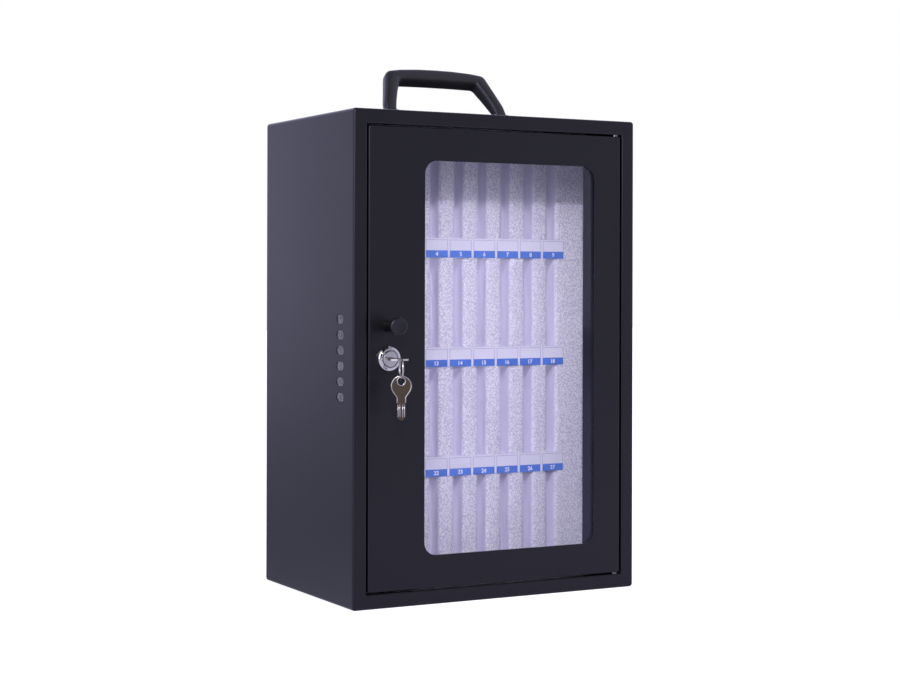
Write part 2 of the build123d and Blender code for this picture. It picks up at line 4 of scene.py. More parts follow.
import bmesh
import bpy
import numpy as np
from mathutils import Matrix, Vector


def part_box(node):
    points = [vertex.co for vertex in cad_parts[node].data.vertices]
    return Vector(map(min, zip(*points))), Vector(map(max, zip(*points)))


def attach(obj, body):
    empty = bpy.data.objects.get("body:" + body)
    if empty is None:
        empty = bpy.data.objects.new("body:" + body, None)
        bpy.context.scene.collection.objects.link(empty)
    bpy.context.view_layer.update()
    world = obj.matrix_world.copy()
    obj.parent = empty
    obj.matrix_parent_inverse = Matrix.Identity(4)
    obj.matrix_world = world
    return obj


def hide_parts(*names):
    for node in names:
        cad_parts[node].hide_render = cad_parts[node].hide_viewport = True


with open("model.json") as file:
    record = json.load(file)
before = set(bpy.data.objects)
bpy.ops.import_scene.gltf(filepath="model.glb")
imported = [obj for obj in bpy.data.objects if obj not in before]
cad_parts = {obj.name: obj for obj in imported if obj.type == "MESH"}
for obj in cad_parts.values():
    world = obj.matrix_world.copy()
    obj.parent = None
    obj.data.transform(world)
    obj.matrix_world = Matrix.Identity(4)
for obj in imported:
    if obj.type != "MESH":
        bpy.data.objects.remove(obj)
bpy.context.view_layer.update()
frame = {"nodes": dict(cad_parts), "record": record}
scene = bpy.context.scene
mm = 0.001
weldReach = 1e-7  # metres: nearer points than this are one
joints = {joint["name"]: joint for joint in frame["record"]["behaviour"]["joints"]}
print("frame loaded:", len(frame["nodes"]), "CAD nodes")


def hexColour(text):
    # sRGB hex to linear light, one channel at a time
    values = [int(text[i:i + 2], 16) / 255 for i in (1, 3, 5)]
    linear = [v / 12.92 if v <= 0.04045 else ((v + 0.055) / 1.055) ** 2.4 for v in values]
    return (*linear, 1.0)


def addNode(tree, kind, settings=None, values=None, links=None):
    # settings are properties, values are unlinked sockets, links are sockets fed by other outputs
    node = tree.nodes.new(kind)
    for key, value in (settings or {}).items():
        setattr(node, key, value)
    for key, value in (values or {}).items():
        node.inputs[key].default_value = value
    for key, output in (links or {}).items():
        tree.links.new(output, node.inputs[key])
    return node


def startMaterial(name):
    material = bpy.data.materials.new(name)
    material.use_nodes = True
    material.node_tree.nodes.clear()
    tree = material.node_tree
    return material, tree, addNode(tree, "ShaderNodeTexCoord").outputs["Object"]


def finishMaterial(tree, surface):
    addNode(tree, "ShaderNodeOutputMaterial", links={"Surface": surface})


view = {
    "place": (-0.8612, -1.5951, 0.2921),
    "yaw": 28.42,  # degrees to the right of +Y
    "roll": -0.138,
    "focal": 1853.8,  # in pixels of a picture 900 wide
    "width": 900,
    "height": 686,
    "horizon": 284.44,
    "sensor": 36.0,
    "farthest": 50.0,
}


def makeCamera():
    data = bpy.data.cameras.new("camera")
    data.sensor_fit = "HORIZONTAL"
    data.sensor_width = view["sensor"]
    data.lens = view["focal"] * view["sensor"] / view["width"]
    data.shift_y = (view["horizon"] - view["height"] / 2) / view["width"]
    data.clip_end = view["farthest"]
    camera = bpy.data.objects.new("camera", data)
    camera.location = view["place"]
    camera.rotation_euler = (
        math.radians(90), math.radians(view["roll"]), -math.radians(view["yaw"]),
    )
    scene.collection.objects.link(camera)
    scene.camera = camera


makeCamera()

smoothStep = {"interpolation_type": "SMOOTHSTEP"}

# A ramp is even up to its first place and beyond its last, and runs straight or smoothly between.
# The world's places are parts of a unit direction, and the floor's are metres.
studio = {
    "backdrop": 1.0,
    "roomTint": "#dcdaff",  # of what metal and paint mirror
    "ambientTint": "#f2f0ff",
    # the wall behind the camera, darker to its left
    "front": {"From Min": 0.15, "From Max": 0.95, "To Min": 0.0, "To Max": 1.08},
    # a bright opening far to the left, which gives round metal its crescents
    "window": {"From Min": -0.4, "From Max": -0.75, "To Min": 0.0, "To Max": 2.6},
    # the wall behind the cabinet, as its side mirrors it, and the share of that left high up
    "rear": {"From Min": -0.62, "From Max": -0.2, "To Min": -0.25, "To Max": 2.2},
    "high": {"From Min": 0.0, "From Max": 0.35, "To Min": 1.0, "To Max": 0.7},
    # from the front wall to the rear one
    "turn": {"From Min": 0.1, "From Max": 0.7, "To Min": 0.0, "To Max": 1.0},
    # soft light on matt surfaces, all of it from the right
    "ambient": {"From Min": 0.0, "From Max": 0.75, "To Min": 0.0, "To Max": 3.9},
    "floorTone": "#9c9ca0",
    "floorLift": 0.95,  # added for the camera alone, so the floor reads as white paper
    # light that it sends up, left and right of the cabinet
    "floorBounce": {"From Min": 0.2, "From Max": 1.1, "To Min": 0.0, "To Max": 3.0},
    # its mirrored brightness from near the cabinet to far away, before and behind it
    "floorFront": {"From Min": 1.0, "From Max": 4.5, "To Min": 0.82, "To Max": 0.5},
    "floorBack": {"From Min": 1.0, "From Max": 4.5, "To Min": 0.5, "To Max": 1.05},
    "floorTurn": {"From Min": -0.4, "From Max": 0.4, "To Min": 0.0, "To Max": 1.0},
    "floorSize": 9.0,
    "keyWay": (-0.5, -1.0, 0.56),
    "keyAim": (0.0, -0.1, 0.22),
    "keyDistance": 1.5,
    "keySize": 0.06,
    "keyPower": 8.9,
    "keyTint": "#f6f4ff",
}


def seenDirectly(tree, rays):
    # 1 for what the camera sees, also through the pane, and 0 for light that reaches a matt surface
    fresh = addNode(
        tree, "ShaderNodeMath", {"operation": "LESS_THAN"}, {1: 0.5},
        {0: rays.outputs["Diffuse Depth"]},
    ).outputs[0]
    through = addNode(
        tree, "ShaderNodeMath", {"operation": "MULTIPLY"},
        links={0: fresh, 1: rays.outputs["Is Transmission Ray"]},
    ).outputs[0]
    return addNode(
        tree, "ShaderNodeMath", {"operation": "MAXIMUM"},
        links={0: rays.outputs["Is Camera Ray"], 1: through},
    ).outputs[0]


def makeWorld():
    # white for the camera and through the pane; metal and paint mirror a room with a light back
    # wall and a dim front, and matt surfaces are lit from the right
    world = bpy.data.worlds.new("studio")
    scene.world = world
    world.use_nodes = True
    tree = world.node_tree
    tree.nodes.clear()
    way = addNode(tree, "ShaderNodeTexCoord").outputs["Generated"]
    right, back, up = addNode(tree, "ShaderNodeSeparateXYZ", links={"Vector": way}).outputs
    ramps = {}
    for name, place, settings in (
        ("front", right, {}), ("window", right, smoothStep), ("rear", right, {}),
        ("high", up, {}), ("turn", back, smoothStep), ("ambient", right, {}),
    ):
        ramps[name] = addNode(
            tree, "ShaderNodeMapRange", settings, studio[name], {"Value": place},
        ).outputs["Result"]
    front = addNode(
        tree, "ShaderNodeMath", {"operation": "ADD"},
        links={0: ramps["front"], 1: ramps["window"]},
    ).outputs[0]
    rear = addNode(
        tree, "ShaderNodeMath", {"operation": "MULTIPLY"},
        links={0: ramps["rear"], 1: ramps["high"]},
    ).outputs[0]
    room = addNode(
        tree, "ShaderNodeMix", {"data_type": "FLOAT"}, links={0: ramps["turn"], 2: front, 3: rear},
    ).outputs[0]
    rays = addNode(tree, "ShaderNodeLightPath")
    glossy = rays.outputs["Is Glossy Ray"]
    mirrored = addNode(
        tree, "ShaderNodeMix", {"data_type": "FLOAT"},
        links={0: glossy, 2: ramps["ambient"], 3: room},
    ).outputs[0]
    seen = seenDirectly(tree, rays)
    strength = addNode(
        tree, "ShaderNodeMix", {"data_type": "FLOAT"}, {3: studio["backdrop"]},
        {0: seen, 2: mirrored},
    ).outputs[0]
    tint = addNode(
        tree, "ShaderNodeMix", {"data_type": "RGBA"},
        {6: hexColour(studio["ambientTint"]), 7: hexColour(studio["roomTint"])}, {0: glossy},
    ).outputs[2]
    tint = addNode(
        tree, "ShaderNodeMix", {"data_type": "RGBA"}, {7: hexColour("#ffffff")}, {0: seen, 6: tint},
    ).outputs[2]
    shade = addNode(tree, "ShaderNodeBackground", links={"Color": tint, "Strength": strength})
    addNode(tree, "ShaderNodeOutputWorld", links={"Surface": shade.outputs["Background"]})


def makeLamp():
    # one small round lamp before the cabinet and to its left, turned towards it
    data = bpy.data.lights.new("key", "AREA")
    data.shape = "DISK"
    data.size = studio["keySize"]
    data.energy = studio["keyPower"]
    data.color = hexColour(studio["keyTint"])[:3]
    lamp = bpy.data.objects.new("key", data)
    way = Vector(studio["keyWay"]).normalized()
    lamp.location = Vector(studio["keyAim"]) + way * studio["keyDistance"]
    lamp.rotation_euler = way.to_track_quat("Z", "Y").to_euler()
    scene.collection.objects.link(lamp)


def makeFloor():
    # matt paper: it takes the shadow, the camera sees it lifted to white, and metal mirrors it
    size = studio["floorSize"]
    corners = [(-size, -size, 0), (size, -size, 0), (size, size, 0), (-size, size, 0)]
    mesh = bpy.data.meshes.new("floor")
    mesh.from_pydata(corners, [], [(0, 1, 2, 3)])
    floor = bpy.data.objects.new("floor", mesh)
    scene.collection.objects.link(floor)
    material, tree, points = startMaterial("mattPaper")
    rays = addNode(tree, "ShaderNodeLightPath")
    seen = seenDirectly(tree, rays)
    right, back, _ = addNode(tree, "ShaderNodeSeparateXYZ", links={"Vector": points}).outputs
    away = addNode(tree, "ShaderNodeMath", {"operation": "ABSOLUTE"}, links={0: back}).outputs[0]
    ramps = {}
    for name, place, settings in (
        ("floorBounce", right, {}), ("floorTurn", back, smoothStep),
        ("floorFront", away, {}), ("floorBack", away, {}),
    ):
        ramps[name] = addNode(
            tree, "ShaderNodeMapRange", settings, studio[name], {"Value": place},
        ).outputs["Result"]
    lift = addNode(
        tree, "ShaderNodeMix", {"data_type": "FLOAT"}, {3: studio["floorLift"]},
        {0: seen, 2: ramps["floorBounce"]},
    ).outputs[0]
    tone = hexColour(studio["floorTone"])
    body = addNode(tree, "ShaderNodeBsdfDiffuse", values={"Color": tone}).outputs[0]
    glow = addNode(tree, "ShaderNodeEmission", links={"Strength": lift}).outputs[0]
    paper = addNode(tree, "ShaderNodeAddShader", links={0: body, 1: glow}).outputs[0]
    fade = addNode(
        tree, "ShaderNodeMix", {"data_type": "FLOAT"},
        links={0: ramps["floorTurn"], 2: ramps["floorFront"], 3: ramps["floorBack"]},
    ).outputs[0]
    mirrored = addNode(
        tree, "ShaderNodeEmission", values={"Color": hexColour(studio["roomTint"])},
        links={"Strength": fade},
    ).outputs[0]
    both = addNode(
        tree, "ShaderNodeMixShader",
        links={0: rays.outputs["Is Glossy Ray"], 1: paper, 2: mirrored},
    ).outputs[0]
    finishMaterial(tree, both)
    mesh.materials.append(material)


makeWorld()
makeLamp()
makeFloor()
print("camera, lights and floor made")


def powderCoat():
    # polyester powder coat, sprayed and baked on sheet steel: satin black whose fine orange peel
    # softens what it mirrors
    peelWidth, peelDepth, peelStrength, cloudWidth = 1.6, 0.03, 0.35, 90
    satin = {"To Min": 0.33, "To Max": 0.38}  # roughness, which wanders with the cloud
    material, tree, points = startMaterial("satinPowderCoat")
    peel = addNode(
        tree, "ShaderNodeTexNoise",
        values={"Scale": 1 / (peelWidth * mm), "Detail": 3.0, "Roughness": 0.55},
        links={"Vector": points},
    ).outputs["Fac"]
    cloud = addNode(
        tree, "ShaderNodeTexNoise", values={"Scale": 1 / (cloudWidth * mm), "Detail": 2.0},
        links={"Vector": points},
    ).outputs["Fac"]
    colour = addNode(
        tree, "ShaderNodeMix", {"data_type": "RGBA"},
        {6: hexColour("#060608"), 7: hexColour("#08080b")}, {0: cloud},
    ).outputs[2]
    roughness = addNode(
        tree, "ShaderNodeMapRange", values=satin, links={"Value": cloud},
    ).outputs["Result"]
    bump = addNode(
        tree, "ShaderNodeBump", values={"Strength": peelStrength, "Distance": peelDepth * mm},
        links={"Height": peel},
    ).outputs["Normal"]
    shade = addNode(
        tree, "ShaderNodeBsdfPrincipled",
        values={"IOR": 1.5, "Specular Tint": hexColour("#f8f6ff")},
        links={"Base Color": colour, "Roughness": roughness, "Normal": bump},
    )
    finishMaterial(tree, shade.outputs[0])
    return material


def moulding(name, colours, roughness, grainWidth, grainDepth):
    # moulded plastic: even colour with a slow cloud in it and the fine grain of the tool's surface
    cloudWidth, grainStrength = 25, 0.4
    material, tree, points = startMaterial(name)
    grain = addNode(
        tree, "ShaderNodeTexNoise", values={"Scale": 1 / (grainWidth * mm), "Detail": 2.0},
        links={"Vector": points},
    ).outputs["Fac"]
    cloud = addNode(
        tree, "ShaderNodeTexNoise", values={"Scale": 1 / (cloudWidth * mm), "Detail": 2.0},
        links={"Vector": points},
    ).outputs["Fac"]
    tone = addNode(
        tree, "ShaderNodeMix", {"data_type": "RGBA"},
        {6: hexColour(colours[0]), 7: hexColour(colours[1])}, {0: cloud},
    ).outputs[2]
    bump = addNode(
        tree, "ShaderNodeBump", values={"Strength": grainStrength, "Distance": grainDepth * mm},
        links={"Height": grain},
    ).outputs["Normal"]
    shade = addNode(
        tree, "ShaderNodeBsdfPrincipled", values={"Roughness": roughness, "IOR": 1.5},
        links={"Base Color": tone, "Normal": bump},
    )
    finishMaterial(tree, shade.outputs[0])
    return material


def cutFoam():
    # expanded polyethylene: the moulded face shows its beads, about 1.7 mm apart, with darker and
    # deeper seams between them, and the knife leaves the slots smooth
    beadWidth, fineWidth, cloudWidth = 1.7, 0.8, 14
    seamSpan = {"From Min": 0.1, "From Max": 0.7}  # from a bead's middle, as a share of beadWidth
    faceEdge, cutAndShadeEdge = -20.4, -17.0  # mm in y: moulded nearer than the first; past the second, the cut foam's darker tone, partly painted shade
    seamSink = -2.0  # height of the seams against that of the fine grain
    bumpStrength, bumpDepth = 0.7, 0.35
    material, tree, points = startMaterial("expandedFoam")
    bead = addNode(
        tree, "ShaderNodeTexVoronoi", {"feature": "F1"}, {"Scale": 1 / (beadWidth * mm)},
        {"Vector": points},
    ).outputs["Distance"]
    seam = addNode(
        tree, "ShaderNodeMapRange", values=seamSpan, links={"Value": bead},
    ).outputs["Result"]
    fine = addNode(
        tree, "ShaderNodeTexNoise", values={"Scale": 1 / (fineWidth * mm), "Detail": 3.0},
        links={"Vector": points},
    ).outputs["Fac"]
    cloud = addNode(
        tree, "ShaderNodeTexNoise", values={"Scale": 1 / (cloudWidth * mm), "Detail": 2.0},
        links={"Vector": points},
    ).outputs["Fac"]
    place = addNode(tree, "ShaderNodeSeparateXYZ", links={"Vector": points}).outputs["Y"]
    face = addNode(
        tree, "ShaderNodeMapRange", smoothStep,
        {"From Min": cutAndShadeEdge * mm, "From Max": faceEdge * mm}, {"Value": place},
    ).outputs["Result"]
    # partly painted shade: slot walls and floors deeper than the face's rounding get a darker lilac
    # than the moulded face, partly the cut foam's own tone and partly painted shade for their depth
    cutToneAndShade = addNode(
        tree, "ShaderNodeMix", {"data_type": "RGBA"},
        {6: hexColour("#d0cadf"), 7: hexColour("#dbd6e8")}, {0: cloud},
    ).outputs[2]
    moulded = addNode(
        tree, "ShaderNodeMix", {"data_type": "RGBA"},
        {6: hexColour("#ffffff"), 7: hexColour("#cfc9db")}, {0: seam},
    ).outputs[2]
    colour = addNode(
        tree, "ShaderNodeMix", {"data_type": "RGBA"}, links={0: face, 6: cutToneAndShade, 7: moulded},
    ).outputs[2]
    dent = addNode(
        tree, "ShaderNodeMath", {"operation": "MULTIPLY"}, links={0: seam, 1: face},
    ).outputs[0]
    height = addNode(
        tree, "ShaderNodeMath", {"operation": "MULTIPLY_ADD"}, {1: seamSink}, {0: dent, 2: fine},
    ).outputs[0]
    bump = addNode(
        tree, "ShaderNodeBump", values={"Strength": bumpStrength, "Distance": bumpDepth * mm},
        links={"Height": height},
    ).outputs["Normal"]
    shade = addNode(
        tree, "ShaderNodeBsdfPrincipled",
        values={
            "Roughness": 0.8, "IOR": 1.45,
            "Subsurface Weight": 0.35, "Subsurface Radius": (1, 1, 1), "Subsurface Scale": 1.2 * mm,
        },
        links={"Base Color": colour, "Normal": bump},
    )
    finishMaterial(tree, shade.outputs[0])
    return material


def castAcrylic():
    # clear cast acrylic sheet: the eye sees through it, it mirrors a little, and the lamp reaches
    # the foam behind it
    waveWidth = 60
    gloss = {"To Min": 0.01, "To Max": 0.03}
    material, tree, points = startMaterial("castAcrylic")
    wave = addNode(
        tree, "ShaderNodeTexNoise", values={"Scale": 1 / (waveWidth * mm), "Detail": 1.0},
        links={"Vector": points},
    ).outputs["Fac"]
    roughness = addNode(
        tree, "ShaderNodeMapRange", values=gloss, links={"Value": wave},
    ).outputs["Result"]
    shade = addNode(
        tree, "ShaderNodeBsdfPrincipled",
        values={
            "Base Color": hexColour("#fafaff"), "IOR": 1.49, "Transmission Weight": 1.0,
            "Specular Tint": hexColour("#dde0ff"),
        },
        links={"Roughness": roughness},
    )
    clear = addNode(tree, "ShaderNodeBsdfTransparent", values={"Color": hexColour("#f7f7f8")})
    rays = addNode(tree, "ShaderNodeLightPath")
    both = addNode(
        tree, "ShaderNodeMixShader",
        links={0: rays.outputs["Is Shadow Ray"], 1: shade.outputs[0], 2: clear.outputs[0]},
    )
    finishMaterial(tree, both.outputs[0])
    return material


def plating(name, colours, roughness, spread, grainWidth, scratch):
    # plated or turned metal: tone and gloss wander a little, and fine rubs show where it is handled
    scratchDepth = 0.05
    material, tree, points = startMaterial(name)
    blotch = addNode(
        tree, "ShaderNodeTexNoise", values={"Scale": 1 / (grainWidth * mm), "Detail": 3.0},
        links={"Vector": points},
    ).outputs["Fac"]
    tone = addNode(
        tree, "ShaderNodeMix", {"data_type": "RGBA"},
        {6: hexColour(colours[0]), 7: hexColour(colours[1])}, {0: blotch},
    ).outputs[2]
    rough = addNode(
        tree, "ShaderNodeMapRange", values={"To Min": roughness, "To Max": roughness + spread},
        links={"Value": blotch},
    ).outputs["Result"]
    bump = addNode(
        tree, "ShaderNodeBump", values={"Strength": scratch, "Distance": scratchDepth * mm},
        links={"Height": blotch},
    ).outputs["Normal"]
    shade = addNode(
        tree, "ShaderNodeBsdfPrincipled", values={"Metallic": 1.0},
        links={"Base Color": tone, "Roughness": rough, "Normal": bump},
    )
    finishMaterial(tree, shade.outputs[0])
    return material


metals = {
    # two colours, roughness and how far it wanders, blotch width in mm, strength of the rubs
    "polishedChrome": (("#deddd4", "#f2f1e8"), 0.06, 0.05, 2.5, 0.25),  # mirrors sharply
    "blastedNickelSilver": (("#594e3e", "#6e6250"), 0.34, 0.12, 1.2, 0.5),  # dull, warm and grainy
    "brightNickel": (("#cfc8bc", "#e8e2d8"), 0.16, 0.08, 1.5, 0.2),  # warm white, slightly soft
    "zincPlate": (("#aeb0b8", "#c6c8ce"), 0.3, 0.15, 1.5, 0.2),  # bluish and satin
    "turnedSteel": (("#7c7c84", "#8e8e96"), 0.3, 0.1, 1.5, 0.1),  # darker grey, even
}
plastics = {
    # two colours, roughness, width and depth of the grain in mm
    "glassFilledNylon": (("#1b1b1e", "#232226"), 0.45, 0.7, 0.04),  # charcoal with a coarse grain
    "mouldedPhenolic": (("#0c0c0f", "#111115"), 0.38, 1.2, 0.01),  # near black and smooth
    "printedFilm": (("#e0dcea", "#e9e6f2"), 0.5, 0.6, 0.01),  # pale, matt label film
    "blueInk": (("#3f70cc", "#4a7bd8"), 0.45, 0.5, 0.01),  # screen print, even and a little glossy
    "greyInk": (("#868cb0", "#9298ba"), 0.45, 0.5, 0.01),
    "whiteInk": (("#eceaf6", "#f4f2fb"), 0.45, 0.5, 0.01),
}
coat = powderCoat()
foam = cutFoam()
acrylic = castAcrylic()
chrome, keyFace, nickel, zinc, steel = [plating(name, *look) for name, look in metals.items()]
nylon, phenolic, film, blueInk, greyInk, whiteInk = [
    moulding(name, *look) for name, look in plastics.items()
]

finishes = {
    coat: ["cabinet_body", "back_panel", "door_panel", "door_hinge_plates"],
    foam: ["foam_back_slab"] + [f"foam_shelf_{i}" for i in range(1, 6)]
    + [f"foam_{kind}_{i}" for kind in ("ribs", "ends") for i in range(1, 5)],
    acrylic: ["window_pane"],
    chrome: ["lock_housing", "lock_plug"],
    keyFace: ["key_in_lock", "spare_key"],
    nickel: ["key_ring"],
    zinc: [
        "lock_nut", "lock_cam", "cam_screw", "knob_screw", "pane_clips", "pane_studs", "pane_nuts",
        "handle_brackets", "handle_pins", "handle_screws", "handle_nuts",
    ],
    steel: ["hinge_pins", "hinge_washers"],
    nylon: ["handle_bow"],
    phenolic: ["pull_knob"],
    film: [f"labels_{i}" for i in range(1, 5)],
}
for material, names in finishes.items():
    for name in names:
        slots = frame["nodes"][name].data.materials
        slots.clear()
        slots.append(material)
print("finishes given to the CAD nodes")


def gridPart(points, closeRows=False, closeColumns=False, capEnds=False):
    # points is rows by columns by 3, in millimetres; each cell between neighbours makes a face
    rows, columns = points.shape[:2]
    index = np.arange(rows * columns).reshape(rows, columns)
    ends = [tuple(index[0, ::-1].tolist()), tuple(index[-1].tolist())] if capEnds else []
    if closeRows:
        index = np.vstack([index, index[:1]])
    if closeColumns:
        index = np.hstack([index, index[:, :1]])
    cells = np.stack([index[:-1, :-1], index[:-1, 1:], index[1:, 1:], index[1:, :-1]], -1)
    cells = cells.reshape(-1, 4)
    return points.reshape(-1, 3), [tuple(cell) for cell in cells.tolist()] + ends


def boxParts(lows, highs):
    # closed boxes between rows of lowest and highest corners, in millimetres
    lows, highs = np.atleast_2d(lows), np.atleast_2d(highs)
    pick = np.array([[i & 1, i >> 1 & 1, i >> 2 & 1] for i in range(8)])
    points = np.where(pick[None], highs[:, None], lows[:, None]).reshape(-1, 3)
    sides = np.array([
        [0, 4, 6, 2], [1, 3, 7, 5], [0, 1, 5, 4], [2, 6, 7, 3], [0, 2, 3, 1], [4, 5, 7, 6],
    ])
    cells = (np.arange(len(lows))[:, None, None] * 8 + sides).reshape(-1, 4)
    return points, [tuple(cell) for cell in cells.tolist()]


def carryProfile(centres, sides, ups, profile):
    # each row is the profile set at one point of the path: centre + side times u + up times v
    u, v = profile[None, :, :1], profile[None, :, 1:]
    return centres[:, None] + sides[:, None] * u + ups[:, None] * v


def beadProfile(width, height, steps):
    # a half ellipse that stands on a face, with its foot sunk a little into it
    sunk = 0.1
    arch = np.linspace(0, np.pi, steps)
    crown = np.stack([np.cos(arch) * width / 2, np.sin(arch) * height], -1)
    return np.concatenate([crown, [[-width / 2, -sunk], [width / 2, -sunk]]])


def jointAxis(name):
    axis = np.array(joints[name]["axis"], float)
    return axis / np.linalg.norm(axis)


def addPiece(name, parts, material, body, replaced=(), smooth=True):
    # parts are pairs of points and faces, joined into one mesh whose place is in its points; its
    # doubles are merged and its faces turned outwards
    starts = np.cumsum([0] + [len(points) for points, faces in parts]).tolist()
    points = np.concatenate([points for points, faces in parts]) * mm
    faces = [
        tuple(i + start for i in face)
        for start, (_, many) in zip(starts, parts) for face in many
    ]
    mesh = bpy.data.meshes.new(name)
    mesh.from_pydata(points.tolist(), [], faces)
    shell = bmesh.new()
    shell.from_mesh(mesh)
    bmesh.ops.remove_doubles(shell, verts=shell.verts, dist=weldReach)
    bmesh.ops.recalc_face_normals(shell, faces=shell.faces)
    shell.to_mesh(mesh)
    shell.free()
    mesh.polygons.foreach_set("use_smooth", np.full(len(mesh.polygons), smooth))
    mesh.update()
    mesh.materials.append(material)
    piece = bpy.data.objects.new(name, mesh)
    scene.collection.objects.link(piece)
    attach(piece, body)
    if replaced:
        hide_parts(*replaced)


foamBlock = {
    "halfWidth": 143.0,
    "front": -21.0,
    "back": 98.0,
    "shelves": (1.0, 106.3, 211.6, 316.9, 422.2),
    "shelfHeight": 19.8,
    "slotPitch": 26.2,
    "slotCount": 9,
    "slotWidth": 8.8,
    "slotDepth": 14.0,
    "slotLip": 3.8,  # rounding of a slot's upright edges
    "shelfLip": 2.5,  # rounding of a slot's top and bottom
    "slotRamp": 16.0,  # mm over which a slot deepens below its shelf
    "edge": 2.5,  # rounding of the block's own edges
    "roundSteps": 7,
    "flatStep": 1.6,  # mm between points on the flats
    "unevenness": 0.22,  # mm, how far the face stands in and out
    "blurs": 2,
    "inside": 1e-3,  # mm, the first point past a slot's edge
    "seed": 11,
}


def pocketLine(starts, ends, low, high, lip):
    # places along one line across the block, with points close together on the quarter rounds
    # beside each pocket
    f = foamBlock
    turn = np.linspace(0, np.pi / 2, f["roundSteps"])
    places = [low + f["edge"] * (1 - np.cos(turn)), high - f["edge"] * (1 - np.cos(turn))]
    for start, end in zip(starts, ends):
        places += [
            start - lip + lip * np.sin(turn), end + lip - lip * np.sin(turn),
            [start + f["inside"], end - f["inside"]],
        ]
    places = np.unique(np.round(np.concatenate(places), 4))
    gaps = np.diff(places)
    counts = np.maximum(1, np.ceil(gaps / f["flatStep"]).astype(int))
    fill = np.repeat(gaps / counts, counts)
    return np.concatenate([places[:1], places[0] + np.cumsum(fill)])


def pocketDepth(places, starts, ends, lip, depth):
    # nothing on the flats, a quarter round beside a pocket, and the pocket's whole depth inside it
    # the distance from the nearest pocket is below 0 inside it
    nearest = np.maximum(starts[:, None] - places, places - ends[:, None]).min(0)
    along = np.clip(1 - nearest / lip, 0, 1)
    rounded = lip * (1 - np.sqrt(1 - along ** 2))
    return np.where(nearest < 0, depth, rounded)


def edgeDepth(places, low, high, radius):
    # a quarter round down from the face at both ends of the block
    near = np.clip(1 - np.minimum(places - low, high - places) / radius, 0, 1)
    return radius * (1 - np.sqrt(1 - near ** 2))


def foamUnevenness(shape):
    # seeded noise, each point averaged with its neighbours along both axes, from 0 to 1
    f = foamBlock
    noise = np.random.default_rng(f["seed"]).standard_normal(shape)
    for axis in (0, 1):
        for _ in range(f["blurs"]):
            noise = (np.roll(noise, 1, axis) + noise + np.roll(noise, -1, axis)) / 3
    return (noise - noise.min()) / (noise.max() - noise.min())


def foamPiece():
    # the face is a height field over x and z; its border is carried straight back to the rear and
    # closed there
    f = foamBlock
    middles = (np.arange(f["slotCount"]) - (f["slotCount"] - 1) / 2) * f["slotPitch"]
    starts, ends = middles - f["slotWidth"] / 2, middles + f["slotWidth"] / 2
    shelves = np.array(f["shelves"])
    floors, tops = shelves[:-1] + f["shelfHeight"], shelves[1:]
    left, right = -f["halfWidth"], f["halfWidth"]
    low, high = shelves[0], shelves[-1] + f["shelfHeight"]
    across = pocketLine(starts, ends, left, right, f["slotLip"])
    rise = pocketLine(floors, tops, low, high, f["shelfLip"])
    slotsIn = pocketDepth(across, starts, ends, f["slotLip"], f["slotDepth"])
    rowsIn = pocketDepth(rise, floors, tops, f["shelfLip"], f["slotDepth"])
    below = (tops[:, None] - rise) / f["slotRamp"]
    ramp = np.where((below > 0) & (below < 1), np.sin(np.clip(below, 0, 1) * np.pi / 2), 1).min(0)
    ramped = f["shelfLip"] + (rowsIn - f["shelfLip"]) * ramp
    rowsIn = np.where(rowsIn == f["slotDepth"], ramped, rowsIn)
    depth = np.minimum(slotsIn[None], rowsIn[:, None])
    edges = np.maximum(
        edgeDepth(across, left, right, f["edge"])[None],
        edgeDepth(rise, low, high, f["edge"])[:, None],
    )
    depth = np.maximum(depth, edges) + f["unevenness"] * foamUnevenness(depth.shape)
    x, z = np.meshgrid(across, rise)
    face = np.stack([x, f["front"] + depth, z], -1)
    points, faces = gridPart(face)
    index = np.arange(len(points)).reshape(x.shape)
    rim = np.concatenate([index[0, :], index[1:, -1], index[-1, -2::-1], index[-2:0:-1, 0]])
    behind = len(points) + np.arange(len(rim))
    rear = points[rim] * (1, 0, 1) + (0, f["back"], 0)
    walls = np.stack([np.roll(rim, -1), rim, behind, np.roll(behind, -1)], -1)
    faces += [tuple(wall) for wall in walls.tolist()] + [tuple(behind[::-1].tolist())]
    addPiece(
        "foamBlock", [(np.concatenate([points, rear]), faces)], foam, "cabinet",
        finishes[foam],
    )


foamPiece()
print("foam block made")

labels = {
    "front": -21.5,  # the film's face
    "proud": 0.06,  # thickness of the print
    "fieldWidth": 23.8,
    "shift": 1.5,  # the print sits a little to the right of the slots
    "frameTop": 1.5,  # from the top of the strip to the frame's outer edge
    "bandTop": 11.8,
    "bandBottom": 18.7,
    "frameLine": 0.32,
    "figureHeight": 4.1,
    "figureWeight": 0.03,  # how much the strokes are thickened, as a share of the type's size
    "figureThick": 0.02,  # of the type before it is set on the print, as a share of its size
    "figureCurve": 4,  # steps in each curve of a figure
    "figureSunk": 0.01,
}


def figurePart(text, height, centreX, centreZ):
    # a number set in the built-in face, made a mesh and stood upright on the print; its front and
    # back become two flat planes, one thickness of print apart
    curve = bpy.data.curves.new("figure", "FONT")
    curve.body = text
    curve.align_x = "CENTER"
    curve.extrude = labels["figureThick"]
    curve.offset = labels["figureWeight"]
    curve.resolution_u = labels["figureCurve"]
    made = bpy.data.objects.new("figure", curve)
    mesh = bpy.data.meshes.new_from_object(made)
    points = np.empty(len(mesh.vertices) * 3)
    mesh.vertices.foreach_get("co", points)
    points = points.reshape(-1, 3)
    faces = [tuple(polygon.vertices) for polygon in mesh.polygons]
    bpy.data.objects.remove(made)
    bpy.data.curves.remove(curve)
    bpy.data.meshes.remove(mesh)
    scale = height / np.ptp(points[:, 1])
    middle = (points.max(0) + points.min(0)) / 2
    u, v, w = ((points - middle) * scale).T
    face = labels["front"] - labels["proud"] + labels["figureSunk"]
    depth = face - labels["proud"] * (1 + np.sign(w)) / 2
    return np.stack([centreX + u, depth, centreZ + v], -1), faces


